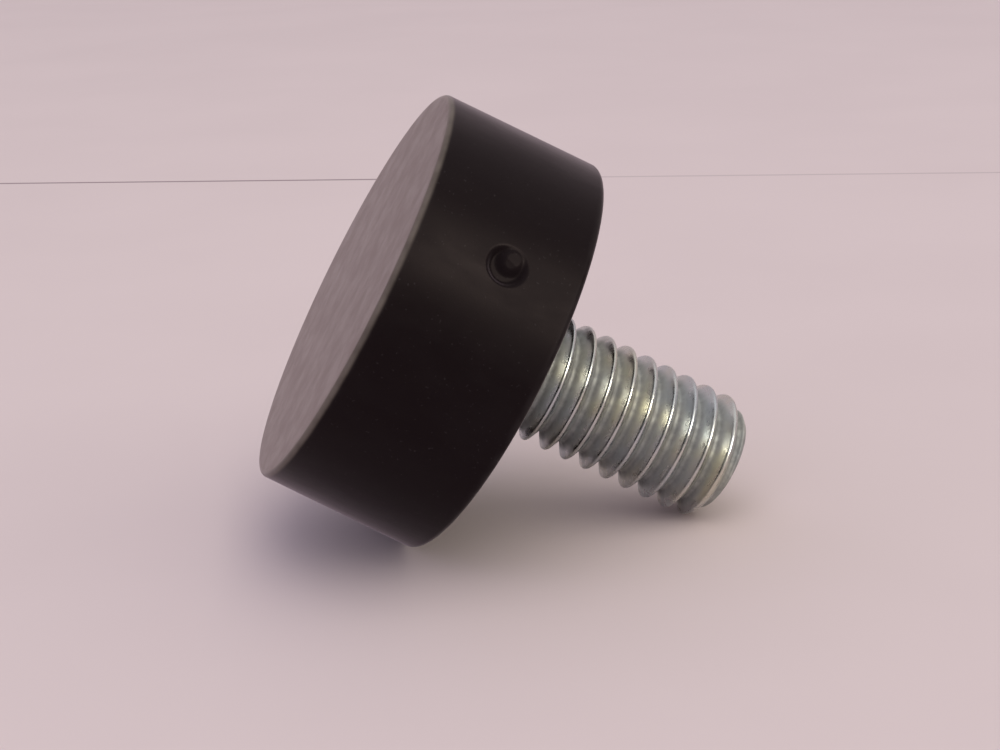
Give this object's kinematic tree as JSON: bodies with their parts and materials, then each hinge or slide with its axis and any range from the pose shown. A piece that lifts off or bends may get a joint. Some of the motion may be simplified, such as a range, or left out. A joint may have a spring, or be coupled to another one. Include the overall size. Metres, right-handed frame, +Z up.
{
  "type": "furniture leveling foot",
  "caption": "Round black plastic leveling foot with an insert-moulded threaded steel stud, for levelling desks and cabinets.",
  "frame": {"origin": "centre of the sole, the flat face that stands on the ground", "axes": "+Z up the stud's axis, from the sole to the stud's tip; +X and +Y are arbitrary, with the gate mark 5.85 degrees from +X"},
  "size_m": [0.0254, 0.0254, 0.0256],
  "materials": {
    "moulded_plastic": "satin black injection-moulded plastic",
    "zinc_plated_steel": "bright zinc plating with a faint clear-blue and yellow passivation"
  },
  "bodies": {
    "root": {"base": "moulded_plastic", "threaded_stud": "zinc_plated_steel"}
  },
  "joints": []
}
